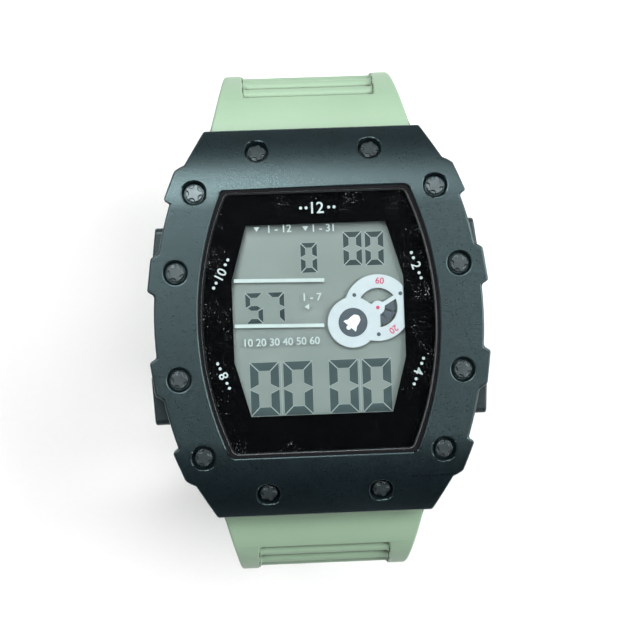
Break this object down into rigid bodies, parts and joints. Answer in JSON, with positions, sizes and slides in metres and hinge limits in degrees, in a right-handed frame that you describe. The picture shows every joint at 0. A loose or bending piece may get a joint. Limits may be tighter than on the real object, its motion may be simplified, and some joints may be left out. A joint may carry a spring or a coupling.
{
  "type": "digital wristwatch",
  "caption": "Digital watch in a barrel-shaped case with screwed bezel, side pushers and a two-part moulded strap with buckle, unbuckled and standing on its strap.",
  "frame": {"origin": "middle of the strap's footprint, on the surface the watch stands on", "axes": "+Z out of the dial, +Y towards twelve o'clock, +X towards three o'clock"},
  "size_m": [0.0446, 0.0678, 0.0609],
  "materials": {
    "bezel_resin": "fine spark-eroded texture, metallic grey-blue",
    "band_resin": "satin moulded resin",
    "black_screw": "glossy black coating",
    "crystal_glass": "clear with light scratches",
    "black_rubber": "matt",
    "clear_film": "clear",
    "mask_print": "black printed",
    "figure_print": "white print",
    "display_glass": "clear",
    "reflector_film": "grey-green satin film",
    "light_plate": "clear moulded",
    "lamp_resin": "milky resin",
    "connector_rubber": "striped conductive rubber",
    "module_plastic": "moulded",
    "board_laminate": "green solder mask",
    "chip_resin": "potting resin",
    "steel": "brushed",
    "polished_steel": "polished",
    "brass": "plain",
    "pusher_resin": "satin black",
    "strap_resin": "satin pale green resin"
  },
  "bodies": {
    "case": {"bezel": "bezel_resin", "bezel_screws": "black_screw", "bezel_short_screws": "black_screw", "crystal": "crystal_glass", "crystal_gasket": "black_rubber", "dial_film": "clear_film", "dial_mask": "mask_print", "dial_figure": "figure_print", "lcd_front_glass": "display_glass", "lcd_rear_glass": "display_glass", "lcd_reflector": "reflector_film", "light_guide": "light_plate", "backlight_led": "lamp_resin", "zebra_strips": "connector_rubber", "lcd_frame": "module_plastic", "circuit_board": "board_laminate", "chip_blob": "chip_resin", "quartz_can": "steel", "module_base": "module_plastic", "module_screws": "steel", "battery": "polished_steel", "battery_clip": "steel", "battery_contact": "brass", "buzzer_disc": "brass", "buzzer_spring": "steel", "button_contacts": "brass", "case_band": "band_resin", "back_cover": "steel", "back_gasket": "black_rubber", "back_screws": "steel", "upper_spring_bar": "steel", "lower_spring_bar": "steel", "light_spring": "steel", "mode_spring": "steel", "start_spring": "steel", "reset_spring": "steel"},
    "light_button": {"light_pusher": "pusher_resin", "light_seal": "black_rubber", "light_clip": "steel"},
    "mode_button": {"mode_pusher": "pusher_resin", "mode_seal": "black_rubber", "mode_clip": "steel"},
    "start_button": {"start_pusher": "pusher_resin", "start_seal": "black_rubber", "start_clip": "steel"},
    "reset_button": {"reset_pusher": "pusher_resin", "reset_seal": "black_rubber", "reset_clip": "steel"},
    "upper_strap": {"strap_upper": "strap_resin", "fixed_keeper": "strap_resin"},
    "lower_strap": {"strap_lower": "strap_resin"},
    "buckle": {"buckle_frame": "steel", "buckle_bar": "steel"},
    "tongue": {"buckle_tongue": "steel"},
    "loose_keeper": {"free_keeper": "strap_resin"}
  },
  "joints": [
    {"name": "light_press", "type": "slide", "parent": "case", "child": "light_button", "axis": [1, 0, 0], "range_m": [0, 0.0007], "stiffness_N_per_m": 3900, "springref_m": -0.0005, "deforming": ["light_spring"]},
    {"name": "mode_press", "type": "slide", "parent": "case", "child": "mode_button", "axis": [1, 0, 0], "range_m": [0, 0.0007], "stiffness_N_per_m": 3900, "springref_m": -0.0005, "deforming": ["mode_spring"]},
    {"name": "start_press", "type": "slide", "parent": "case", "child": "start_button", "axis": [-1, 0, 0], "range_m": [0, 0.0007], "stiffness_N_per_m": 3900, "springref_m": -0.0005, "deforming": ["start_spring"]},
    {"name": "reset_press", "type": "slide", "parent": "case", "child": "reset_button", "axis": [-1, 0, 0], "range_m": [0, 0.0007], "stiffness_N_per_m": 3900, "springref_m": -0.0005, "deforming": ["reset_spring"]},
    {"name": "upper_strap_swing", "type": "hinge", "parent": "case", "child": "upper_strap", "pos_m": [0, 0.02235, 0.05181], "axis": [1, 0, 0], "range_deg": [0, 17]},
    {"name": "lower_strap_swing", "type": "hinge", "parent": "case", "child": "lower_strap", "pos_m": [0, -0.02235, 0.05181], "axis": [-1, 0, 0], "range_deg": [0, 28]},
    {"name": "buckle_swing", "type": "hinge", "parent": "upper_strap", "child": "buckle", "pos_m": [0, -0.00679, 0.01787], "axis": [1, 0, 0], "range_deg": [-60, 40]},
    {"name": "tongue_swing", "type": "hinge", "parent": "buckle", "child": "tongue", "pos_m": [0, -0.00679, 0.01787], "axis": [1, 0, 0], "range_deg": [0, 45]},
    {"name": "keeper_slide", "type": "slide", "parent": "upper_strap", "child": "loose_keeper", "axis": [0, -0.9848, 0.1736], "range_m": [0, 0.0045]}
  ]
}
